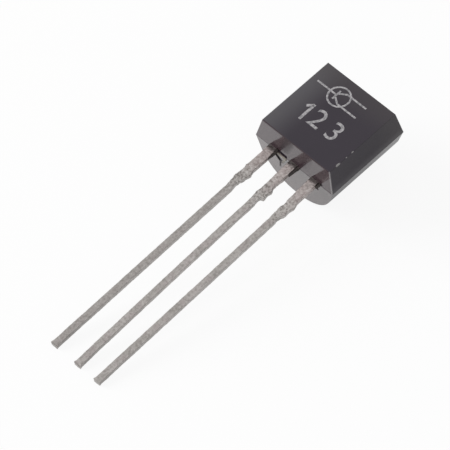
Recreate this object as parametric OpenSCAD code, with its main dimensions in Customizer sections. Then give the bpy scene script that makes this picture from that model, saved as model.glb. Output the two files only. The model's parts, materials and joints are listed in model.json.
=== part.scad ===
// Small-signal transistor in a TO-92 case, lying with its flat face up on the
// lower edge of its round back and on the tips of its leads. Millimetres.
//
// The pieces are drawn standing on the lead end of the case: X runs across
// the flat face, Y from the flat face (0) to the round back, Z from the lead
// end (0) to the closed end, and the leads hang below. lay_down() then turns
// the finished transistor onto its back, with its leads towards -Y.

/* [Case] */
// Width of the case at the parting line, where it is widest
case_w = 4.64; // [3.8:0.02:5.6]
// Height of the case, from the lead end to the closed end
case_h = 4.48; // [3.7:0.02:5.4]
// Depth of the case, from the flat face to the land on its round back
case_depth = 3.6; // [3:0.02:4.4]
// Width of the narrow land along the middle of the round back
back_land = 0.6; // [0.4:0.05:1]
// How far each side of the flat face is set in from the parting line
flat_inset = 0.295; // [0.1:0.005:0.5]
// How far the round back is set in from the parting line on each side
back_inset = 0.16; // [0.05:0.01:0.4]
// Draft of both ends of the case, measured at the flat face
front_draft = 0.18; // [0:0.01:0.4]
// Draft of both ends of the case, measured at the round back
back_draft = 0.09; // [0:0.01:0.3]

/* [Leads] */
// Distance between the middles of neighbouring leads
lead_pitch = 1.27; // [1.05:0.01:1.55]
// Thickness of the strip that the leads are stamped from
strip_t = 0.25; // [0.15:0.01:0.4]
// Distance from the flat face to the middle of the strip, and to the parting line
strip_depth = 1.25; // [1:0.01:1.5]
// Width of a lead along its free length
lead_w = 0.31; // [0.25:0.01:0.4]
// Length of a lead below the case
lead_len = 13.1; // [10:0.1:16]
// Width of a lead where it leaves the case
shoulder_w = 0.45; // [0.4:0.01:0.6]
// Sideways step from the middle of the shoulder to the middle of the free length
lead_step = -0.045; // [-0.07:0.005:0.07]
// Distance from the case to the cut stubs of the tie bar
stub_gap = 1.55; // [1.2:0.05:1.8]
// Length of the stubs along the lead
stub_len = 0.6; // [0.4:0.05:0.8]
// How far a stub stands out of the shoulder's side
stub_out = 0.05; // [0.02:0.005:0.1]
// Length of the taper from the stubs to the free length
taper_len = 0.2; // [0.1:0.05:0.5]
// Straight length below the case before the leads lean back
bend_gap = 0.2; // [0.1:0.05:0.5]
// How far the lead tips have been pushed back
tip_drop = 0.59; // [0:0.01:1]
// How far each lead tip has been pushed sideways
tip_shift = [-0.015, 0.125, 0.04]; // [-0.2:0.005:0.2]

/* [Leadframe inside the case] */
// Width of the paddle that carries the chip
paddle_w = 1.4; // [1.1:0.05:1.7]
// Height of the paddle's lower edge above the lead end
paddle_z = 1.7; // [1.3:0.05:2]
// Wall left between the paddle and the closed end
top_wall = 0.95; // [0.4:0.05:1.3]
// Height of the bond posts' lower edges above the lead end
post_z = 0.6; // [0.4:0.05:0.9]
// Height of a bond post
post_h = 1.5; // [1.2:0.05:1.8]
// Wall left between a bond post and the side of the case
side_wall = 0.5; // [0.3:0.05:0.6]
// Clear gap between the paddle and each bond post
frame_gap = 0.3; // [0.2:0.05:0.35]

/* [Chip and bond wires] */
// Side of the square chip
die_w = 0.45; // [0.35:0.01:0.6]
// Thickness of the chip
die_t = 0.2; // [0.15:0.01:0.3]
// Thickness of the conductive bond under the chip
attach_t = 0.03; // [0.02:0.005:0.05]
// How far the conductive bond spreads past the chip's edge
attach_spread = 0.05; // [0.02:0.01:0.1]
// Distance from the chip's middle to each of its two bond pads
pad_offset = 0.11; // [0.08:0.01:0.15]
// Diameter of the bond wires
wire_d = 0.04; // [0.03:0.005:0.05]
// Diameter of a wire's end where it is pressed on
bond_d = 0.1; // [0.08:0.01:0.12]
// Thickness of the pressed ball on the chip
ball_t = 0.05; // [0.04:0.005:0.06]
// Thickness of the pressed stitch on the bond post
stitch_t = 0.03; // [0.03:0.005:0.04]
// How far the wire rises above the line between its ends
loop_rise = 0.3; // [0.2:0.01:0.4]
// Distance from a bond post's upper edge to the stitch
stitch_gap = 0.35; // [0.2:0.05:0.6]

/* [Hidden] */

$fn = 96;

// Colours of the finishes
case_grey = [0.17, 0.165, 0.18];
tin_grey = [0.62, 0.61, 0.59];
silicon_grey = [0.25, 0.27, 0.33];
silver_paste = [0.7, 0.7, 0.68];
bond_gold = [0.9, 0.7, 0.3];

// Longer than any cut or slab needs to be, in every direction
past = 2 * (case_w + case_h + case_depth + lead_len);
// How far a shape reaches past the one it is cut against
over = 1;

// Round back: an arc that the tapering sides run into, cut off at the land.
// The sides end just inside the arc, so that the two outlines cross cleanly.
back_r = case_w / 2 - back_inset;
back_y = case_depth - sqrt(back_r * back_r - back_land * back_land / 4);
edge_angle = atan2(strip_depth - back_y, case_w / 2);
edge_reach = norm([case_w / 2, strip_depth - back_y]);
tangent_angle = edge_angle + acos(back_r / edge_reach);
side_sink = 0.003;
side_end = (back_r - side_sink) * [cos(tangent_angle), sin(tangent_angle)] + [0, back_y];

// The strip as [Y, Z]: straight in the case, then leaning back below the bend
strip_front = strip_depth - strip_t / 2;
lean_len = lead_len - bend_gap;
lean = asin(tip_drop / lean_len);
bend = [strip_depth, -bend_gap];
tip = bend + lean_len * [sin(lean), -cos(lean)];
half_cut = strip_t / 2 * [cos(lean), sin(lean)];

// Where the free length starts, and how far its blank runs past the tip: as
// far again, so that it has been pushed sideways twice as far there
free_start = stub_gap + stub_len + taper_len;
blank_end = 2 * lead_len - free_start;

// Leadframe inside the case
paddle_top = case_h - top_wall;
post_inner = paddle_w / 2 + frame_gap;
post_outer = case_w / 2 - side_wall;
neck_top = post_z + post_h / 2;

// Chip and the wires' ends: heights are above the front face of the strip
die_z = (paddle_z + paddle_top) / 2;
die_top = attach_t + die_t;
attach_w = die_w + 2 * attach_spread;
ball_height = die_top + ball_t / 2;
stitch_height = stitch_t / 2;
wire_dx = (post_inner + post_outer) / 2 - pad_offset;
wire_dz = post_z + post_h - stitch_gap - die_z;

// At rest it touches the surface with the lower edge of its back and with the
// lead tips, which tips it from lying flat by this angle
foot = [case_depth, back_draft];
rest_angle = atan2(foot[0] - (tip + half_cut)[0], foot[1] - (tip + half_cut)[1]);

// Where a point [Y, Z] of the standing transistor comes to lie along and above
// the surface, before it is centred
function along(p) = p[1] * cos(rest_angle) + p[0] * sin(rest_angle);
function above(p) = p[1] * sin(rest_angle) - p[0] * cos(rest_angle);
far_end = max(along([case_depth, case_h - back_draft]), along([strip_depth, case_h]));
lead_end = min(along(tip - half_cut), along(tip + half_cut));

// Turns the standing transistor onto its back, centred over the origin
module lay_down() {
    translate([0, -(far_end + lead_end) / 2, -above(foot)])
        rotate([rest_angle - 90, 0, 0])
            children();
}

// Outline of the case, seen along the leads
module case_plan() {
    polygon([
        [-case_w / 2 + flat_inset, 0], [case_w / 2 - flat_inset, 0],
        [case_w / 2, strip_depth], side_end,
        [-side_end[0], side_end[1]], [-case_w / 2, strip_depth]
    ]);
    intersection() {
        translate([0, back_y]) circle(back_r);
        translate([-case_w / 2, strip_depth]) square([case_w, case_depth - strip_depth]);
    }
}

// The draft of both ends, seen from the side and reaching past the case
module case_profile() {
    front_rise = front_draft / strip_depth * over;
    back_rise = back_draft / (case_depth - strip_depth) * over;
    polygon([
        [-over, front_draft + front_rise], [strip_depth, 0],
        [case_depth + over, back_draft + back_rise],
        [case_depth + over, case_h - back_draft - back_rise], [strip_depth, case_h],
        [-over, case_h - front_draft - front_rise]
    ]);
}

// A slab drawn as [Y, Z], as long as past, across X
module across_x() {
    translate([-past / 2, 0, 0]) rotate([90, 0, 90]) linear_extrude(past) children();
}

// A slab drawn as [X, Z], as long as past, across Y
module across_y() {
    translate([0, past / 2, 0]) rotate([90, 0, 0]) linear_extrude(past) children();
}

// The strip seen from its side
module strip_profile() {
    mitre = strip_t / 2 / cos(lean / 2) * [cos(lean / 2), sin(lean / 2)];
    polygon([
        [strip_front, case_h], bend - mitre, tip - half_cut,
        tip + half_cut, bend + mitre, [strip_front + strip_t, case_h]
    ]);
}

// One side of a stamped lead below the case, from the case to past its tip
function lead_side(side, shift) = [
    [side * shoulder_w / 2, 0],
    [side * shoulder_w / 2, -stub_gap],
    [side * (shoulder_w / 2 + stub_out), -stub_gap],
    [side * (shoulder_w / 2 + stub_out), -stub_gap - stub_len],
    [lead_step + side * lead_w / 2, -free_start],
    [lead_step + side * lead_w / 2 + 2 * shift, -blank_end]
];

function reversed(list) = [for (i = [len(list) - 1:-1:0]) list[i]];

// A lead stamped from the strip; children draw its part inside the case
module lead(position, neck, shift) {
    intersection() {
        across_x() strip_profile();
        translate([position, 0, 0]) across_y() union() {
            polygon(concat(
                [[-shoulder_w / 2, neck]],
                lead_side(-1, shift), reversed(lead_side(1, shift)),
                [[shoulder_w / 2, neck]]
            ));
            children();
        }
    }
}

// Bond post on an outer lead, on the side of the lead away from the paddle
module post(side) {
    width = post_outer - post_inner;
    middle = (post_inner + post_outer) / 2 - lead_pitch;
    translate([side * middle - width / 2, post_z]) square([width, post_h]);
}

// Bond wire from the chip to the post on the given side
module bond_wire(side) {
    run = norm([wire_dx, wire_dz]);
    fall = ball_height - stitch_height;
    chord = norm([run, fall]);
    arc_r = (chord * chord / 4 + loop_rise * loop_rise) / (2 * loop_rise);
    half_arc = asin(chord / 2 / arc_r);
    translate([side * pad_offset, strip_front, die_z]) mirror([side < 0 ? 1 : 0, 0, 0]) {
        translate([0, -die_top, 0]) rotate([90, 0, 0]) cylinder(d = bond_d, h = ball_t);
        translate([wire_dx, 0, wire_dz]) rotate([90, 0, 0]) cylinder(d = bond_d, h = stitch_t);
        translate([0, -ball_height, 0])
            rotate([0, -atan2(wire_dz, wire_dx), 0])
                rotate([180, 0, 0])
                    rotate([0, 0, -atan2(fall, run)])
                        translate([chord / 2, loop_rise - arc_r, 0])
                            rotate([0, 0, 90 - half_arc])
                                rotate_extrude(angle = 2 * half_arc)
                                    translate([arc_r, 0]) circle(d = wire_d);
    }
}

// The pieces, standing

module standing_emitter_lead() {
    lead(-lead_pitch, neck_top, tip_shift[0]) post(-1);
}

module standing_collector_lead() {
    lead(0, paddle_z + paddle_w / 2, tip_shift[1])
        translate([-paddle_w / 2, paddle_z]) square([paddle_w, paddle_top - paddle_z]);
}

module standing_base_lead() {
    lead(lead_pitch, neck_top, tip_shift[2]) post(1);
}

module standing_die_attach() {
    translate([-attach_w / 2, strip_front - attach_t, die_z - attach_w / 2])
        cube([attach_w, attach_t, attach_w]);
}

module standing_die() {
    translate([-die_w / 2, strip_front - die_top, die_z - die_w / 2])
        cube([die_w, die_t, die_w]);
}

module standing_case() {
    difference() {
        intersection() {
            linear_extrude(past, center = true) case_plan();
            across_x() case_profile();
        }
        standing_emitter_lead();
        standing_collector_lead();
        standing_base_lead();
        standing_die_attach();
        standing_die();
        bond_wire(-1);
        bond_wire(1);
    }
}

// The pieces, lying as the transistor rests

module case() {
    color(case_grey) lay_down() standing_case();
}

module emitter_lead() {
    color(tin_grey) lay_down() standing_emitter_lead();
}

module collector_lead() {
    color(tin_grey) lay_down() standing_collector_lead();
}

module base_lead() {
    color(tin_grey) lay_down() standing_base_lead();
}

module die() {
    color(silicon_grey) lay_down() standing_die();
}

module die_attach() {
    color(silver_paste) lay_down() standing_die_attach();
}

module emitter_bond_wire() {
    color(bond_gold) lay_down() bond_wire(-1);
}

module base_bond_wire() {
    color(bond_gold) lay_down() bond_wire(1);
}

case();
emitter_lead();
collector_lead();
base_lead();
die();
die_attach();
emitter_bond_wire();
base_bond_wire();
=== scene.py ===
import json
import math

import bpy
from mathutils import Matrix, Vector


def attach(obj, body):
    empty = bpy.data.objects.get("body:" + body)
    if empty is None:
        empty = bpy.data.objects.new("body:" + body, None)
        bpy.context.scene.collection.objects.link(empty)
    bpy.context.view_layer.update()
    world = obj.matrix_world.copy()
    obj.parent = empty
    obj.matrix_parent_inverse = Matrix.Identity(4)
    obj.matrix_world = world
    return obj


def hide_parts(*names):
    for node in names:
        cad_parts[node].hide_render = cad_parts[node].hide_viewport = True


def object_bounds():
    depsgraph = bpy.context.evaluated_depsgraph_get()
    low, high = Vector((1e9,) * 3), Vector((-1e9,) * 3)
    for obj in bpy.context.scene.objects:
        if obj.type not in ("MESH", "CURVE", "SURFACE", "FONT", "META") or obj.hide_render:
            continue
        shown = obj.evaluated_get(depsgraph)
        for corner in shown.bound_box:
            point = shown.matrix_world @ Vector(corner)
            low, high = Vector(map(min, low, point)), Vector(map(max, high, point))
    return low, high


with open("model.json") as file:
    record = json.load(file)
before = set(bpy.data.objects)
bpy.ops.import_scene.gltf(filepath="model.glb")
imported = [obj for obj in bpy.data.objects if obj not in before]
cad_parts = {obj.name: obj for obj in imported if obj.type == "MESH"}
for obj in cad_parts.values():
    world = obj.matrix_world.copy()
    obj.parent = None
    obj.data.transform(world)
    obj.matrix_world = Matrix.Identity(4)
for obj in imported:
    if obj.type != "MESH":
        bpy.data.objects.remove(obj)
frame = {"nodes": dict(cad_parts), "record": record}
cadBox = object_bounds()
print("frame loaded:", ", ".join(sorted(frame["nodes"])))

# The pieces are modelled in millimetres with the case standing on its lead end: X runs across the
# flat face, Y from the flat face to the round back, Z up from the lead end. toFrame lays them down.
mm = 0.001
mounts = {mount["name"]: mount for mount in frame["record"]["mounts"]}
leadExit = Vector(mounts["leads"]["pos_m"])
flatMiddle = Vector(mounts["flat_face"]["pos_m"])
upward = -Vector(mounts["leads"]["axis"]).normalized()
inward = -Vector(mounts["flat_face"]["axis"]).normalized()
stripDepth = (leadExit - flatMiddle).dot(inward) / mm  # middle of the leads, below the flat face
toFrame = (
    Matrix.Translation(leadExit - inward * stripDepth * mm)
    @ Matrix((inward.cross(upward), inward, upward)).transposed().to_4x4()
    @ Matrix.Scale(mm, 4)
)
toStanding = toFrame.inverted()


def standingBox(node):
    points = [toStanding @ vertex.co for vertex in frame["nodes"][node].data.vertices]
    return [Vector([pick(point[axis] for point in points) for axis in range(3)])
            for pick in (min, max)]


caseLow, caseHigh = standingBox("case")
facing = 0.9  # how much of its normal a face turns one way, to count as facing that way
mergeGap = 1e-4


def selectOnly(piece=None):
    bpy.ops.object.select_all(action="DESELECT")
    if piece:
        bpy.context.view_layer.objects.active = piece
        piece.select_set(True)


def startEdit(piece):
    selectOnly(piece)
    bpy.ops.object.mode_set(mode="EDIT")
    bpy.ops.mesh.select_mode(type="FACE")
    bpy.ops.mesh.select_all(action="SELECT")


def endEdit():
    bpy.ops.object.mode_set(mode="OBJECT")


def pickFaces(piece, test):
    # in edit mode: selects the faces whose middle and normal pass the test
    bpy.ops.mesh.select_all(action="DESELECT")
    bpy.ops.object.mode_set(mode="OBJECT")
    for face in piece.data.polygons:
        face.select = test(face.center, face.normal)
    bpy.ops.object.mode_set(mode="EDIT")


def cutAway(point, normal):
    # in edit mode: a flat cut through everything, clearing and capping what lies beyond it
    bpy.ops.mesh.select_all(action="SELECT")
    bpy.ops.mesh.bisect(plane_co=point, plane_no=Vector(normal).normalized(), use_fill=True,
                        clear_outer=True)


def scoreLine(point, normal):
    # in edit mode: a flat cut through everything that only leaves new edges
    bpy.ops.mesh.select_all(action="SELECT")
    bpy.ops.mesh.bisect(plane_co=point, plane_no=normal)


def extrudeBy(move):
    bpy.ops.mesh.extrude_region_move(TRANSFORM_OT_translate={"value": move})


def subdivideAll(cuts):
    bpy.ops.mesh.select_all(action="SELECT")
    bpy.ops.mesh.subdivide(number_cuts=cuts)


def settled(name):
    # bakes in the place, turn and size that the last primitive was added with
    piece = bpy.context.object
    bpy.ops.object.transform_apply(location=True, rotation=True, scale=True)
    piece.name = piece.data.name = name
    return piece


def addBar(name, middle, size, turn=(0, 0, 0)):
    selectOnly()
    bpy.ops.mesh.primitive_cube_add(size=1, location=middle, rotation=turn, scale=size)
    return settled(name)


def addBlock(name, low, high):
    low, high = Vector(low), Vector(high)
    return addBar(name, (low + high) / 2, high - low)


def addBall(name, middle, radius, stretch=1.0):
    selectOnly()
    bpy.ops.mesh.primitive_ico_sphere_add(
        subdivisions=2, radius=radius, location=middle, scale=(1, 1, stretch))
    return settled(name)


def lineBetween(start, end):
    # the middle of a line on a flat face, its length and its turn
    (startX, startY), (endX, endY) = start, end
    middle = ((startX + endX) / 2, (startY + endY) / 2)
    return middle, math.hypot(endX - startX, endY - startY), math.atan2(endY - startY, endX - startX)


def faceCounts(pieces):
    return ", ".join(str(len(piece.data.polygons)) for piece in pieces) + " faces"


def addModifier(piece, kind, **settings):
    selectOnly(piece)
    modifier = piece.modifiers.new(kind.title(), kind)
    for name, value in settings.items():
        setattr(modifier, name, value)
    bpy.ops.object.modifier_apply(modifier=modifier.name)


def roughen(piece, name, size, reach, **settings):
    # clouds of that size push the surface in or out, by at most that reach
    clouds = bpy.data.textures.get(name) or bpy.data.textures.new(name, "CLOUDS")
    clouds.noise_scale = size
    addModifier(piece, "DISPLACE", texture=clouds, strength=reach * 2, texture_coords="LOCAL",
                **settings)


def carve(piece, cutter):
    addModifier(piece, "BOOLEAN", object=cutter, operation="DIFFERENCE", solver="EXACT")
    bpy.data.objects.remove(cutter, do_unlink=True)


def joinTo(piece, others):
    selectOnly(piece)
    for other in others:
        other.select_set(True)
    bpy.ops.object.join()


def paint(piece, material):
    piece.data.materials.clear()
    piece.data.materials.append(material)


def layDown(piece, material, smoothAngle, replaced=(), evenNormals=True):
    # paints the piece and takes it from standing millimetres to its place in the frame
    paint(piece, material)
    piece.data.transform(toFrame)
    selectOnly(piece)
    bpy.ops.object.shade_smooth_by_angle(angle=math.radians(smoothAngle))
    if evenNormals:  # large flat faces stay flat beside their rounded edges
        addModifier(piece, "WEIGHTED_NORMAL", weight=80, keep_sharp=True)
    selectOnly()
    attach(piece, "root")
    if replaced:
        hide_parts(*replaced)


class Signal:
    # an output socket that takes part in arithmetic
    def __init__(self, finish, socket):
        self.finish = finish
        self.socket = socket

    def maths(self, operation, first, second):
        return self.finish.node("Math", {"operation": operation}, {0: first, 1: second})

    def __add__(self, other):
        return self.maths("ADD", self, other)

    def __radd__(self, other):
        return self.maths("ADD", other, self)

    def __sub__(self, other):
        return self.maths("SUBTRACT", self, other)

    def __rsub__(self, other):
        return self.maths("SUBTRACT", other, self)

    def __mul__(self, other):
        return self.maths("MULTIPLY", self, other)

    def __rmul__(self, other):
        return self.maths("MULTIPLY", other, self)

    def atLeast(self, other):
        return self.maths("MAXIMUM", self, other)

    def atMost(self, other):
        return self.maths("MINIMUM", self, other)


class Finish:
    # the nodes of one material, or of the world
    def __init__(self, owner, **surface):
        owner.use_nodes = True
        self.owner = owner
        self.tree = owner.node_tree
        self.shader = self.tree.nodes.get("Principled BSDF") or self.tree.nodes["Background"]
        self.settle(self.shader, surface)

    def settle(self, node, sockets):
        for key, value in sockets.items():
            socket = node.inputs[key.replace("_", " ") if isinstance(key, str) else key]
            if isinstance(value, Signal):
                self.tree.links.new(value.socket, socket)
            elif socket.type == "RGBA":
                socket.default_value = (*value, 1)
            else:
                socket.default_value = value

    def node(self, kind, settings=None, sockets=None, output=0):
        made = self.tree.nodes.new("ShaderNode" + kind)
        for name, value in (settings or {}).items():
            setattr(made, name, value)
        self.settle(made, sockets or {})
        return Signal(self, made.outputs[output])

    def standing(self):
        # Object coordinates, turned back to the millimetres that the pieces are modelled in
        turn = toStanding.to_euler()
        return self.node("Mapping", {}, {
            "Vector": self.node("TexCoord", output="Object"),
            "Location": toStanding.translation,
            "Rotation": (turn.x, turn.y, turn.z),
            "Scale": (1 / mm,) * 3,
        })

    def parts(self, vector):
        split = self.node("SeparateXYZ", {}, {0: vector}).socket.node
        return [Signal(self, output) for output in split.outputs]

    def squeezed(self, vector, squeeze):
        return self.node("Mapping", {}, {"Vector": vector, "Scale": squeeze})

    def cloud(self, vector, scale, detail=2.0, roughness=0.5, squeeze=None):
        if squeeze:
            vector = self.squeezed(vector, squeeze)
        return self.node("TexNoise", {}, {
            "Vector": vector, "Scale": scale, "Detail": detail, "Roughness": roughness})

    def step(self, value, low, high):
        # 0 below low and 1 above high, or the other way where low is the greater
        return self.node("MapRange", {"interpolation_type": "SMOOTHSTEP"}, {
            "Value": value, "From Min": low, "From Max": high})

    def near(self, vector, point, inner, outer):
        # 1 within inner of the point, fading to 0 at outer
        gap = self.node("VectorMath", {"operation": "DISTANCE"}, {0: vector, 1: point}, "Value")
        return self.step(gap, outer, inner)

    def nearLine(self, first, second, start, end, inner, outer):
        # the same for the line from start to end, where first and second are a plane's coordinates
        runs = [to - by for to, by in zip(end, start)]
        gaps = [value - by for value, by in zip((first, second), start)]
        share = (gaps[0] * runs[0] + gaps[1] * runs[1]) * (1 / (runs[0] ** 2 + runs[1] ** 2))
        share = share.atLeast(0.0).atMost(1.0)
        gaps = [gap - share * run for gap, run in zip(gaps, runs)]
        return self.step(gaps[0] * gaps[0] + gaps[1] * gaps[1], outer ** 2, inner ** 2)

    def blend(self, amount, first, second):
        return self.node(
            "Mix", {"data_type": "RGBA"}, {"Factor": amount, 6: first, 7: second}, 2)

    def lay(self, base, value, layer, amount=1.0):
        # the layer's colour over the base, as the value goes from one end of its reach to the other
        share = self.step(value, *layer["reach"]) * layer.get("strength", 1.0) * amount
        return self.blend(share, base, layer["colour"])

    def bump(self, height, strength, distance):
        return self.node(
            "Bump", {}, {"Strength": strength, "Distance": distance * mm, "Height": height})

    def dress(self, **sockets):
        self.settle(self.shader, sockets)
        return self.owner


def newFinish(name, **surface):
    return Finish(bpy.data.materials.new(name), **surface)


view = {
    "azimuth": 42.71,  # degrees from the lead end towards the right
    "elevation": 52.62,
    "roll": 2.98,
    "distance": 131.75 * mm,
    "lens": 246.3,
    "sensor": 36,
    "aimRight": -0.034 * mm,  # from the middle of the part
    "aimUp": -0.183 * mm,
    "nearest": mm, "farthest": 10,
}


def placeCamera(middle):
    azimuth, elevation, roll = (
        math.radians(view[name]) for name in ("azimuth", "elevation", "roll"))
    back = Vector((
        math.sin(azimuth) * math.cos(elevation), -math.cos(azimuth) * math.cos(elevation),
        math.sin(elevation)))
    level = Vector((0, 0, 1)).cross(back).normalized()
    plumb = back.cross(level)
    right = level * math.cos(roll) + plumb * math.sin(roll)
    top = plumb * math.cos(roll) - level * math.sin(roll)
    aim = middle + right * view["aimRight"] + top * view["aimUp"]
    bpy.ops.object.camera_add(location=aim + back * view["distance"])
    camera = bpy.context.object
    camera.name = "camera"
    camera.rotation_euler = Matrix((right, top, back)).transposed().to_euler()
    camera.data.lens = view["lens"]
    camera.data.sensor_width = view["sensor"]
    camera.data.clip_start = view["nearest"]
    camera.data.clip_end = view["farthest"]
    bpy.context.scene.camera = camera


studio = {
    "floorSize": 3.0,
    "floorColour": (0.88, 0.88, 0.88),
    "white": (1, 1, 1),
    "whiteToEye": 0.9,  # how far the floor is plain white as the camera sees it
    "whiteInGloss": 0.25,  # and as it shows in what is glossy
    "roomLight": 0.56,
    "roomInGloss": 0.97,
    "frontDimmed": 0.55,  # how much darker the room's front is in what is glossy
    "frontReach": (-0.05, -0.6),  # the Y of the directions where that starts and where it is full
    "lampWay": (-0.9, -0.6, 0.42),
    "lampDistance": 0.40,
    "lampSize": 0.30,
    "lampPower": 2.0,
}


def rayKinds(finish):
    outputs = finish.node("LightPath").socket.node.outputs
    return [Signal(finish, outputs[name])
            for name in ("Is Camera Ray", "Is Glossy Ray", "Is Transmission Ray")]


def layFloor():
    selectOnly()
    bpy.ops.mesh.primitive_plane_add(size=studio["floorSize"], location=(0, 0, 0))
    floor = bpy.context.object
    floor.name = "floor"
    finish = newFinish("paleFloor", Base_Color=studio["floorColour"], Roughness=1.0,
                       Specular_IOR_Level=0.0)
    eye, gloss, through = rayKinds(finish)
    share = eye * studio["whiteToEye"] + (gloss + through) * studio["whiteInGloss"]
    mixed = finish.node("MixShader", {}, {
        0: share,
        1: Signal(finish, finish.shader.outputs[0]),
        2: finish.node("Emission", {}, {"Color": studio["white"], "Strength": 1.0}),
    })
    finish.tree.links.new(mixed.socket, finish.tree.nodes["Material Output"].inputs["Surface"])
    floor.data.materials.append(finish.owner)


def lightRoom():
    world = bpy.data.worlds.new("studio")
    bpy.context.scene.world = world
    finish = Finish(world, Color=studio["white"])
    eye, gloss, through = rayKinds(finish)
    away = finish.parts(finish.node("TexCoord", output="Generated"))[1]
    front = finish.step(away, *studio["frontReach"]) * studio["frontDimmed"]
    seen = (eye + (gloss + through) * (1 - front)) * studio["roomInGloss"]
    finish.dress(Strength=seen + (1 - eye - gloss - through) * studio["roomLight"])
    bpy.context.scene.view_settings.view_transform = "Standard"


def hangLamp(middle):
    way = Vector(studio["lampWay"]).normalized()
    bpy.ops.object.light_add(type="AREA", location=middle + way * studio["lampDistance"])
    lamp = bpy.context.object
    lamp.name = "softbox"
    lamp.data.shape = "DISK"
    lamp.data.size = studio["lampSize"]
    lamp.data.energy = studio["lampPower"]
    lamp.rotation_euler = way.to_track_quat("Z", "Y").to_euler()
    lamp.visible_glossy = False  # what is glossy mirrors the even room instead


selectOnly()
boxMiddle = (cadBox[0] + cadBox[1]) / 2
placeCamera(boxMiddle)
layFloor()
lightRoom()
hangLamp(boxMiddle)
print("camera, floor and light placed")

case = {
    "flatInset": 0.295,  # each side of the flat face, in from the parting line
    "backInset": 0.16,
    "backLand": 0.6,
    "frontDraft": 0.18,
    "backDraft": 0.09,
    "arcSteps": 44,
    "edgeRadius": 0.03,
    "edgeSteps": 3,
    "edgeAngle": 20,  # degrees from which an edge is rounded
    "smoothTo": 24,  # degrees up to which an edge between two faces is shaded smooth
    "seamWidth": 0.04,  # the witness line that the two halves of the mould leave
    "seamHeight": 0.005,
}


def mouldCase():
    width, depth, height = caseHigh.x - caseLow.x, caseHigh.y, caseHigh.z
    piece = addBlock("mouldedCase", (-width / 2, 0, 0), (width / 2, depth, height))
    startEdit(piece)
    for side in (-1, 1):
        cutAway((side * width / 2, stripDepth, 0), (side * stripDepth, -case["flatInset"], 0))
    radius = width / 2 - case["backInset"]
    middle = depth - math.sqrt(radius ** 2 - case["backLand"] ** 2 / 4)
    reach = Vector((width / 2, stripDepth - middle))  # from the arc's middle to the parting line
    start = math.atan2(reach.y, reach.x) + math.acos(radius / reach.length)
    for step in range(case["arcSteps"] + 1):
        angle = start + (math.pi - 2 * start) * step / case["arcSteps"]
        outward = Vector((math.cos(angle), math.sin(angle), 0))
        cutAway(Vector((0, middle, 0)) + outward * radius, outward)
    for end, up in ((0, -1), (height, 1)):
        cutAway((0, stripDepth, end), (0, -case["frontDraft"], up * stripDepth))
        cutAway((0, stripDepth, end), (0, case["backDraft"], up * (depth - stripDepth)))
    endEdit()
    addModifier(piece, "BEVEL", width=case["edgeRadius"], segments=case["edgeSteps"],
                limit_method="ANGLE", angle_limit=math.radians(case["edgeAngle"]))
    startEdit(piece)
    for side in (-1, 1):
        scoreLine((0, stripDepth + side * case["seamWidth"] / 2, 0), (0, 1, 0))
    pickFaces(piece, lambda spot, normal: abs(spot.y - stripDepth) < case["seamWidth"] / 2)
    bpy.ops.mesh.extrude_region_shrink_fatten(
        TRANSFORM_OT_shrink_fatten={"value": case["seamHeight"]})
    endEdit()
    return piece


# marks of moulding and handling, and painted shade, as (x, y) on the lead end, apart from the chips
blemishes = {
    "grooves": [  # start, end, width, depth
        ((-1.04, 1.11), (-0.42, 1.17), 0.15, 0.10),  # before the flash between the first two leads
        ((-1.14, 1.53), (-0.84, 1.85), 0.18, 0.08),  # behind it
        ((-0.84, 1.82), (-0.92, 2.38), 0.10, 0.05),
    ],
    "smearAndShadeLines": [  # start, end, width, strength
        # painted shade between the first and second leads, and between the second and third
        ((-0.60, 0.70), (-0.38, 0.14), 0.50, 0.55),
        ((0.62, 0.75), (0.78, 0.30), 0.50, 0.20),
        # darker along the two grooves behind the flash
        ((-1.10, 1.50), (-0.84, 1.82), 0.30, 1.0),
        ((-0.86, 1.84), (-0.91, 2.30), 0.07, 1.0),
    ],
    "lineCore": 0.2, "lineFade": 0.7,  # shares of its width where a line starts and ends fading
    "pits": [((1.37, 1.74), 0.10), ((1.66, 1.15), 0.07)],  # place, radius
    "pitHeight": 0.02,
    "chips": [  # x and z on the flat face's right edge, radius
        ((2.02, 0.72), 0.055), ((2.02, 1.24), 0.022), ((2.02, 1.62), 0.03),
    ],
    "chipAside": 0.02, "chipProud": 0.015,  # the middle of a chip, from its place
    "chipStretch": 2.6,
}


def wearCase(piece):
    for start, end, width, depth in blemishes["grooves"]:
        middle, length, turn = lineBetween(start, end)
        carve(piece, addBar("grooveCutter", (*middle, 0), (length, width, depth * 2), (0, 0, turn)))
    for place, radius in blemishes["pits"]:
        carve(piece, addBall("pitCutter", (*place, blemishes["pitHeight"]), radius))
    for (x, z), radius in blemishes["chips"]:
        middle = (x + blemishes["chipAside"], -blemishes["chipProud"], z)
        carve(piece, addBall("chipCutter", middle, radius, blemishes["chipStretch"]))


mouldedCase = mouldCase()
wearCase(mouldedCase)
print("case moulded:", faceCounts([mouldedCase]))

# resin that ran between the first two leads and broke off near the case
flash = {
    "from": -1.06, "to": -0.52,
    "front": 1.26, "thickness": 0.075,
    "proud": 0.06, "root": 0.2,
    "hookStart": (0.085, 0.02, 0.01), "hookReach": (-0.17, 0.36, 0.0),
    "cuts": 5,
    "raggedness": 0.012, "ragSize": 0.12,
    "smoothTo": 40,
}


def formFlash():
    piece = addBlock("resinFlash", (flash["from"], flash["front"], -flash["proud"]),
                     (flash["to"], flash["front"] + flash["thickness"], flash["root"]))
    startEdit(piece)
    pickFaces(piece, lambda spot, normal: normal.x > facing)
    extrudeBy(flash["hookStart"])
    endEdit()
    startEdit(piece)
    pickFaces(piece, lambda spot, normal: normal.y > facing and spot.x > flash["to"])
    extrudeBy(flash["hookReach"])
    subdivideAll(flash["cuts"])
    endEdit()
    roughen(piece, "raggedResin", flash["ragSize"], flash["raggedness"])
    return piece


resinFlash = formFlash()
leadPitch = 1.27

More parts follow.
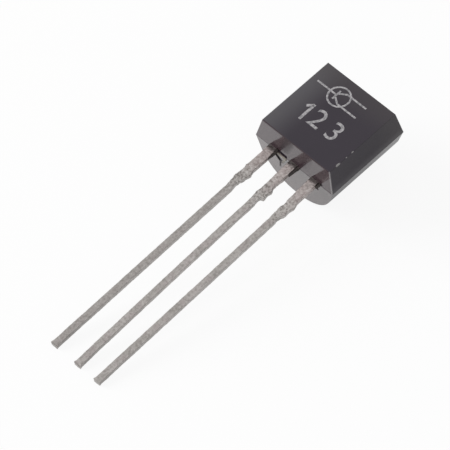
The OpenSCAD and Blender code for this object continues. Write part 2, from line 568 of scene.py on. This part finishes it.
# resin that bled down the right-hand side of each lead
bleed = {
    "runs": [  # the lead's place, how far the resin stands out beside it and comes down
        (-leadPitch, 0.07, 0.55), (0.0, 0.10, 0.55), (leadPitch, 0.11, 0.20),
    ],
    "inside": 0.20,  # from the middle of the lead
    "side": 0.235,
    "front": -0.10, "back": 0.11,  # from the middle of the strip
    "root": 0.12,
    "taper": (0.45, 0.8, 1),
    "cuts": 7,
    "raggedness": 0.02, "ragSize": 0.16,
    "smoothTo": 40,
}


def formBleed():
    runs = []
    for place, out, down in bleed["runs"]:
        inner, back = place + bleed["inside"], stripDepth + bleed["back"]
        run = addBlock("resinBleed", (inner, stripDepth + bleed["front"], -down),
                       (place + bleed["side"] + out, back, bleed["root"]))
        startEdit(run)
        pickFaces(run, lambda spot, normal: normal.z < -facing)
        bpy.ops.transform.resize(value=bleed["taper"], center_override=(inner, back, -down))
        subdivideAll(bleed["cuts"])
        endEdit()
        runs.append(run)
    joinTo(runs[0], runs[1:])
    roughen(runs[0], "raggedBleed", bleed["ragSize"], bleed["raggedness"])
    return runs[0]


resinBleed = formBleed()
print("flash and bleed formed:", faceCounts([resinFlash, resinBleed]))

leadShape = {
    "thickness": 0.25,
    "width": 0.31,
    "bendGap": 0.2,  # straight out of the case for this far
    "lean": 2.6214,  # then degrees towards the round back
    "length": 13.16,
    "evenFrom": -2.7,  # below this height the lead is of even width
    "spread": 0.035,  # each side, where the tip was sheared off
    "spreadLength": 0.12,
    "blank": 0.05,  # the height of the block that a lead is drawn from
    "overlap": 0.1,  # with the frame inside the case
    "voxel": 0.024,
    "tinTop": 0.02,  # the tin's unevenness ends this far inside the case
    "unevenness": {"tinSwell": (0.34, 0.011), "tinGrain": (0.075, 0.008)},  # size, reach
    "smoothTo": 60,
}
leanSlope = math.tan(math.radians(leadShape["lean"]))
# each lead's edges as (height, left, right), from the middle of its exit
leadEdges = {
    "emitter_lead": [
        (0.3, -0.225, 0.225), (-0.5, -0.19, 0.245), (-1.2, -0.195, 0.235), (-1.42, -0.225, 0.225),
        (-1.55, -0.19, 0.25), (-1.64, -0.19, 0.30), (-1.74, -0.185, 0.285), (-1.9, -0.195, 0.225),
        (-2.1, -0.225, 0.215), (-2.2, -0.215, 0.16), (-2.3, -0.172, 0.15), (-2.45, -0.172, 0.125),
    ],
    "collector_lead": [
        (0.3, -0.225, 0.225), (-0.9, -0.195, 0.225), (-1.25, -0.185, 0.19), (-1.5, -0.17, 0.20),
        (-1.6, -0.185, 0.275), (-1.7, -0.185, 0.295), (-1.82, -0.175, 0.25), (-1.95, -0.185, 0.255),
        (-2.1, -0.215, 0.29), (-2.17, -0.19, 0.27), (-2.2, -0.178, 0.15), (-2.32, -0.17, 0.12),
    ],
    "base_lead": [
        (0.3, -0.225, 0.225), (-1.0, -0.19, 0.225), (-1.3, -0.17, 0.22), (-1.44, -0.18, 0.275),
        (-1.56, -0.165, 0.305), (-1.63, -0.13, 0.30), (-1.78, -0.125, 0.262), (-1.92, -0.168, 0.245),
        (-2.08, -0.175, 0.272), (-2.2, -0.15, 0.245), (-2.32, -0.165, 0.18), (-2.5, -0.15, 0.16),
    ],
}
# each lead's place across, where its even part starts and its tip ends beside that, and its bow
leadWays = {
    "emitter_lead": {"place": -leadPitch, "start": 0.014, "tip": -0.036, "bow": 0.0},
    "collector_lead": {"place": 0.0, "start": 0.002, "tip": 0.112, "bow": -0.018},
    "base_lead": {"place": leadPitch, "start": 0.028, "tip": 0.026, "bow": 0.006},
}


def stampLead(node):
    way, half, spread = leadWays[node], leadShape["thickness"] / 2, leadShape["spread"]
    place, tip = way["place"], -leadShape["length"]
    evenLeft, evenRight = (way["start"] + side * leadShape["width"] / 2 for side in (-1, 1))
    (top, left, right), *stations = leadEdges[node]
    stations += [
        (leadShape["evenFrom"], evenLeft, evenRight),
        (tip + leadShape["spreadLength"], evenLeft, evenRight),
        (tip, evenLeft - spread, evenRight + spread),
    ]
    height = top - leadShape["blank"]
    piece = addBlock(node.replace("_l", "L"), (place + left, stripDepth - half, height),
                     (place + right, stripDepth + half, top))
    startEdit(piece)
    pickFaces(piece, lambda spot, normal: normal.z < -facing)
    for nextHeight, nextLeft, nextRight in stations:
        shift = (nextLeft + nextRight - left - right) / 2
        extrudeBy((shift, 0, nextHeight - height))
        bpy.ops.transform.resize(
            value=((nextRight - nextLeft) / (right - left), 1, 1),
            center_override=(place + (nextLeft + nextRight) / 2, stripDepth, nextHeight))
        height, left, right = nextHeight, nextLeft, nextRight
    endEdit()
    joinTo(piece, [innerFrame(node, top - leadShape["overlap"])])
    addModifier(piece, "REMESH", mode="VOXEL", voxel_size=leadShape["voxel"])
    sway(piece, way)
    dipInTin(piece)
    return piece


def innerFrame(node, foot):
    # the part of the lead frame inside the case is the CAD node's own, cut off near the exit
    cadNode = frame["nodes"][node]
    inner = bpy.data.objects.new("innerFrame", cadNode.data.copy())
    bpy.context.scene.collection.objects.link(inner)
    inner.data.transform(toStanding)
    startEdit(inner)
    bpy.ops.mesh.remove_doubles(threshold=mergeGap)
    cutAway((0, 0, foot), (0, 0, -1))
    endEdit()
    return inner


def sway(piece, way):
    # leans the lead towards the round back and pushes its even part sideways
    evenLength = leadShape["length"] + leadShape["evenFrom"]
    for vertex in piece.data.vertices:
        vertex.co.y += max(0.0, -vertex.co.z - leadShape["bendGap"]) * leanSlope
        share = (leadShape["evenFrom"] - vertex.co.z) / evenLength
        if share > 0:
            vertex.co.x += share * (way["tip"] - way["start"])
            vertex.co.x += way["bow"] * 4 * share * (1 - share)


def dipInTin(piece):
    outside = piece.vertex_groups.new(name="outside")
    dipped = [vertex.index for vertex in piece.data.vertices if vertex.co.z < leadShape["tinTop"]]
    outside.add(dipped, 1.0, "REPLACE")
    for name, (size, reach) in leadShape["unevenness"].items():
        roughen(piece, name, size, reach, vertex_group="outside")
    piece.vertex_groups.clear()


leads = {node: stampLead(node) for node in leadEdges}
print("leads stamped:", faceCounts(leads.values()))

# stamped in ink on the flat face: the number of each lead, and the symbol for a transistor
marks = {
    "numbers": {"2": -0.25, "3": 0.73},  # each number and its place across
    "one": -0.94,  # the place of the 1, which is drawn with strokes
    "oneStrokes": [((0.06, -0.5), (0.06, 0.5)), ((0.06, 0.45), (-0.2, 0.22))],
    "oneStroke": 0.135,
    "numberMiddle": 1.80,
    "numberSize": 1.42,
    "symbolMiddle": (-0.4, 3.3),
    "symbolRadius": 0.52,
    "symbolStrokes": [  # from the symbol's middle
        ((-0.16, -0.27), (-0.16, 0.27)), ((-1.3, 0), (-0.16, 0)),
        ((-0.16, 0.09), (0.2, 0.33)), ((0.17, 0.33), (1.3, 0.33)),
        ((-0.16, -0.09), (0.2, -0.33)), ((0.17, -0.33), (1.3, -0.33)),
    ],
    "symbolStroke": 0.085,
    "ringSteps": 64, "ringSides": 8,
    "thickness": 0.006,
    "smoothTo": 30,
}
upright = (math.radians(90), 0, 0)


def inkNumber(number, across):
    selectOnly()
    bpy.ops.object.text_add(location=(across, 0, marks["numberMiddle"]), rotation=upright)
    text = bpy.context.object
    text.data.body = number
    text.data.size = marks["numberSize"]
    text.data.align_x = text.data.align_y = "CENTER"
    text.data.extrude = marks["thickness"] / 2
    bpy.ops.object.convert(target="MESH")
    return settled("number" + number)


def inkStrokes(across, up, strokes, width):
    for start, end in strokes:
        (x, z), length, turn = lineBetween(start, end)
        yield addBar("stroke", (across + x, 0, up + z), (length, marks["thickness"], width),
                     (0, -turn, 0))


def inkRing():
    x, z = marks["symbolMiddle"]
    stroke = marks["symbolStroke"]
    selectOnly()
    bpy.ops.mesh.primitive_torus_add(
        location=(x, 0, z), rotation=upright, major_segments=marks["ringSteps"],
        minor_segments=marks["ringSides"], major_radius=marks["symbolRadius"],
        minor_radius=stroke / 2)
    ring = settled("ring")
    startEdit(ring)
    bpy.ops.transform.resize(value=(1, marks["thickness"] / stroke, 1), center_override=(x, 0, z))
    endEdit()
    return ring


def stampMarks():
    parts = [inkNumber(number, across) for number, across in marks["numbers"].items()]
    parts += inkStrokes(marks["one"], marks["numberMiddle"], marks["oneStrokes"],
                        marks["oneStroke"])
    parts += inkStrokes(*marks["symbolMiddle"], marks["symbolStrokes"], marks["symbolStroke"])
    parts.append(inkRing())
    piece = parts[0]
    joinTo(piece, parts[1:])
    piece.name = piece.data.name = "stampedMarks"
    startEdit(piece)
    bpy.ops.mesh.remove_doubles(threshold=mergeGap)
    bpy.ops.mesh.normals_make_consistent(inside=False)
    endEdit()
    return piece


stampedMarks = stampMarks()
print("marks stamped:", faceCounts([stampedMarks]))

resin = {
    "ior": 1.48,
    "haze": {"scale": 0.5, "detail": 3.0, "roughness": 0.55},
    "speckle": {"scale": 24.0, "roughness": 0.6},
    "hazeTones": ((0.0140, 0.0090, 0.0175), (0.0225, 0.0160, 0.0250)),
    "endBand": (0.035, 0.015),  # height above the lead end's slopes where its finish fades in
    # painted reflection: the lead end is painted paler than the rest of the case, the more so behind
    # the leads
    "endTones": ((0.040, 0.026, 0.031), (0.068, 0.050, 0.052)),  # before the leads, behind them
    "endReflectionReach": (stripDepth, stripDepth + 0.15),
    # further layers, with where each starts and where it is full
    # painted sheen: the flat face is painted paler towards the left
    "paintedLeftSheen": {"reach": (-0.4, -2.2), "colour": (0.072, 0.068, 0.075)},  # towards the left
    # painted sheen: the case is painted paler towards its top
    "paintedTopSheen": {"reach": (2.6, 4.3), "strength": 0.5, "colour": (0.048, 0.041, 0.043)},  # upwards
    "specks": {"reach": (0.60, 0.75), "strength": 0.3, "colour": (0.075, 0.070, 0.066)},
    # painted highlight along the edge between the lead end and the right-hand facet
    "paintedEdgeHighlight": {"reach": (0.06, 0.02), "strength": 0.8, "colour": (0.26, 0.245, 0.25)},
    "offEnd": (0.02, 0.06),  # height above the lead end's slopes where the painted sheen starts
    # painted shade between the leads, and darker along the grooves behind the flash
    "smearAndShade": (0.020, 0.015, 0.018),
    "chipped": (0.30, 0.29, 0.285),
    "chipCore": 0.7, "chipFade": 1.1,  # shares of a chip's radius
    # how glossy the coat is on the lead end, and on the rest of the case behind the leads
    "endGloss": 0.9, "endGlossReach": (0.0, 0.12),
    "backGloss": 0.5, "backGlossReach": (stripDepth - 0.4, stripDepth + 0.1),
    "coatRoughness": 0.08, "coatIor": 1.7,
    # the plain roughness, and what each of these adds to it
    "roughness": {"plain": 0.24, "haze": 0.12, "speckle": 0.06, "leadEnd": -0.16, "mattLines": 0.4},
    "relief": 0.2, "reliefHeight": 0.004,
}


def resinFinish():
    finish = newFinish("mouldedResin", IOR=resin["ior"])
    place = finish.standing()
    across, depth, height = finish.parts(place)
    haze = finish.cloud(place, **resin["haze"])
    speckle = finish.cloud(place, **resin["speckle"])
    frontRise = (stripDepth - depth) * (case["frontDraft"] / stripDepth)
    backRise = (depth - stripDepth) * (case["backDraft"] / (caseHigh.y - stripDepth))
    aboveEnd = height - frontRise.atLeast(backRise)
    slant = math.hypot(stripDepth, case["flatInset"])
    insideFacet = ((caseHigh.x - across) * (stripDepth / slant)
                   - (stripDepth - depth) * (case["flatInset"] / slant))
    leadEnd = finish.step(aboveEnd, *resin["endBand"])
    glossier = (finish.step(depth, *resin["endGlossReach"]) * leadEnd * resin["endGloss"]
                + finish.step(depth, *resin["backGlossReach"]) * (1 - leadEnd) * resin["backGloss"])
    smearAndShade = smearAndShadeShare(finish, across, depth) * leadEnd
    base = finish.blend(haze, *resin["hazeTones"])
    # painted sheen: paler towards the left of the flat face, not on the lead end
    base = finish.lay(base, across, resin["paintedLeftSheen"], finish.step(aboveEnd, *resin["offEnd"]))
    # painted sheen, paler towards the top
    base = finish.lay(base, height, resin["paintedTopSheen"])
    # painted reflection on the lead end
    endTone = finish.blend(finish.step(depth, *resin["endReflectionReach"]), *resin["endTones"])
    base = finish.blend(leadEnd, base, endTone)
    # painted shade between the leads, and darker along the grooves behind the flash
    base = finish.blend(smearAndShade, base, resin["smearAndShade"])
    base = finish.lay(base, speckle, resin["specks"])
    # painted highlight: paler along the edge between the lead end and the right-hand facet
    nearFacet = finish.step(insideFacet, *resin["paintedEdgeHighlight"]["reach"])
    base = finish.lay(base, aboveEnd, resin["paintedEdgeHighlight"], nearFacet)
    base = freshChips(finish, base, place)
    rough = resin["roughness"]
    return finish.dress(
        Base_Color=base,
        Roughness=(rough["plain"] + rough["haze"] * haze + rough["speckle"] * speckle
                   + rough["leadEnd"] * leadEnd + rough["mattLines"] * smearAndShade),
        Coat_Weight=glossier * (1 - smearAndShade),
        Coat_Roughness=resin["coatRoughness"],
        Coat_IOR=resin["coatIor"],
        Normal=finish.bump(speckle, resin["relief"], resin["reliefHeight"]))


def smearAndShadeShare(finish, across, depth):
    # how strongly the lead end is painted matt and dark at a place across and deep: painted shade
    # between the leads, and darker lines along the grooves
    smearAndShade = 0.0
    for start, end, width, strength in blemishes["smearAndShadeLines"]:
        line = finish.nearLine(across, depth, start, end, width * blemishes["lineCore"],
                               width * blemishes["lineFade"])
        smearAndShade = (line * strength).atLeast(smearAndShade)
    return smearAndShade


def freshChips(finish, base, place):
    stretch = blemishes["chipStretch"]
    squeezed = finish.squeezed(place, (1, 1, 1 / stretch))
    for (x, z), radius in blemishes["chips"]:
        fresh = finish.near(squeezed, (x, 0, z / stretch), radius * resin["chipCore"],
                            radius * resin["chipFade"])
        base = finish.blend(fresh, base, resin["chipped"])
    return base


tin = {
    "blotch": {"scale": 1.5, "detail": 3.0, "roughness": 0.6, "squeeze": (1, 1, 0.6)},
    "grain": {"scale": 9.0, "detail": 3.0, "roughness": 0.65},
    "tint": {"scale": 2.6},
    "blotchReach": (0.3, 0.7),
    "blotchTones": ((0.385, 0.364, 0.345), (0.475, 0.449, 0.430)),
    # further layers, with where each starts and where it is full
    "tinted": {"reach": (0.48, 0.62), "strength": 0.5, "colour": (0.40, 0.355, 0.35)},
    "firstLead": {"reach": (-0.3, -0.9), "strength": 0.5, "colour": (0.34, 0.32, 0.305)},
    "darkGrain": {"reach": (0.50, 0.62), "colour": (0.16, 0.145, 0.135)},
    "paleGrain": {"reach": (0.46, 0.34), "colour": (0.60, 0.58, 0.565)},
    # painted light: paler sides and back of each lead
    "paintedSideLight": {"reach": (-0.10, -0.02), "strength": 0.25, "colour": (0.72, 0.70, 0.68)},
    "root": {"reach": (-2.2, -0.3), "colour": (0.57, 0.47, 0.46)},
    # painted reflection: a dark band at each root
    "rootReflection": {"reach": (-0.19, -0.03), "strength": 0.75, "colour": (0.055, 0.045, 0.045)},
    "rootLeast": 0.25, "rootTinted": 0.4,  # the root's colour is stronger where the tint is
    "rootReflectionRaggedness": 0.12,
    "fineBelow": -3.2, "coarseAbove": -2.3,  # heights between which the grain gets stronger
    "fineGrain": 0.35, "coarser": 0.45,
    "smoothest": 0.34, "rougher": 0.12,
    "relief": 0.25, "reliefHeight": 0.010,
}


def tinFinish():
    finish = newFinish("dippedTin", Metallic=1.0)
    place = finish.standing()
    across, depth, height = finish.parts(place)
    blotch = finish.cloud(place, **tin["blotch"])
    grain = finish.cloud(place, **tin["grain"])
    tint = finish.cloud(place, **tin["tint"])
    tone = finish.blend(finish.step(blotch, *tin["blotchReach"]), *tin["blotchTones"])
    tone = finish.lay(tone, tint, tin["tinted"])
    tone = finish.lay(tone, across, tin["firstLead"])
    coarse = finish.step(height, tin["fineBelow"], tin["coarseAbove"])
    coarse = coarse * tin["coarser"] + tin["fineGrain"]
    tone = finish.lay(tone, grain, tin["darkGrain"], coarse)
    tone = finish.lay(tone, grain, tin["paleGrain"], coarse)
    # painted light: each lead's sides and back are painted paler than its face towards the flat face
    belowBend = -1 * height - leadShape["bendGap"]
    leant = belowBend.atLeast(0.0) * leanSlope
    tone = finish.lay(tone, depth - stripDepth - leant, tin["paintedSideLight"])
    # warmer and paler towards the roots; at each root a dark band is painted as a reflection of the
    # dark lead end in the tin
    tone = finish.lay(tone, height, tin["root"], tin["rootLeast"] + tin["rootTinted"] * tint)
    tone = finish.lay(tone, height + grain * tin["rootReflectionRaggedness"], tin["rootReflection"])
    return finish.dress(
        Base_Color=tone,
        Roughness=tin["smoothest"] + tin["rougher"] * grain,
        Normal=finish.bump(grain, tin["relief"], tin["reliefHeight"]))


# finishes with one grain, which sets the tone, the roughness and the relief
thinResin = {
    "surface": {"IOR": 1.52},
    "grain": {"scale": 9.0, "detail": 3.0, "roughness": 0.6},
    "tones": ((0.22, 0.20, 0.17), (0.36, 0.33, 0.29)),
    "smoothest": 0.3, "rougher": 0.25,
    "relief": 0.4, "reliefHeight": 0.01,
}
bledResin = {
    "surface": {"IOR": 1.45},
    "grain": {"scale": 8.0, "detail": 3.0, "roughness": 0.6},
    "tones": ((0.030, 0.023, 0.022), (0.085, 0.069, 0.065)),
    "smoothest": 0.5, "rougher": 0.2,
    "relief": 0.4, "reliefHeight": 0.008,
}
paleInk = {
    "surface": {"IOR": 1.45},
    "grain": {"scale": 7.0, "detail": 3.0, "roughness": 0.65},
    "toneReach": (0.62, 0.40),  # worn thin where the grain is high
    "tones": ((0.20, 0.195, 0.205), (0.40, 0.385, 0.395)),
    "smoothest": 0.5, "rougher": 0.2,
    "relief": 0.3, "reliefHeight": 0.004,
}
sawnSilicon = {
    "surface": {"Metallic": 0.6},
    "grain": {"scale": 12.0, "squeeze": (1, 14, 1)},
    "tones": ((0.045, 0.05, 0.07), (0.09, 0.10, 0.13)),
    "smoothest": 0.25, "rougher": 0.2,
    "relief": 0.2, "reliefHeight": 0.002,
}
silverPaste = {
    "surface": {"Metallic": 0.7},
    "grain": {"scale": 60.0, "detail": 3.0, "roughness": 0.7},
    "tones": ((0.38, 0.38, 0.36), (0.62, 0.62, 0.60)),
    "smoothest": 0.45, "rougher": 0.25,
    "relief": 0.6, "reliefHeight": 0.003,
}
drawnGold = {
    "surface": {"Metallic": 1.0},
    "grain": {"scale": 40.0},
    "tones": ((0.78, 0.50, 0.16), (0.90, 0.64, 0.27)),
    "smoothest": 0.2, "rougher": 0.15,
    "relief": 0.15, "reliefHeight": 0.001,
}


def grainedFinish(name, look):
    finish = newFinish(name, **look["surface"])
    grain = finish.cloud(finish.standing(), **look["grain"])
    toned = finish.step(grain, *look["toneReach"]) if "toneReach" in look else grain
    return finish.dress(
        Base_Color=finish.blend(toned, *look["tones"]),
        Roughness=look["smoothest"] + look["rougher"] * grain,
        Normal=finish.bump(grain, look["relief"], look["reliefHeight"]))


layDown(mouldedCase, resinFinish(), case["smoothTo"], ["case"])
layDown(resinFlash, grainedFinish("thinResin", thinResin), flash["smoothTo"])
layDown(resinBleed, grainedFinish("bledResin", bledResin), bleed["smoothTo"])
layDown(stampedMarks, grainedFinish("paleInk", paleInk), marks["smoothTo"])
dippedTin = tinFinish()
for node, lead in leads.items():
    layDown(lead, dippedTin, leadShape["smoothTo"], [node], evenNormals=False)
gold = grainedFinish("drawnGold", drawnGold)
paint(frame["nodes"]["die"], grainedFinish("sawnSilicon", sawnSilicon))
paint(frame["nodes"]["die_attach"], grainedFinish("silverPaste", silverPaste))
paint(frame["nodes"]["emitter_bond_wire"], gold)
paint(frame["nodes"]["base_bond_wire"], gold)
print("finishes applied")
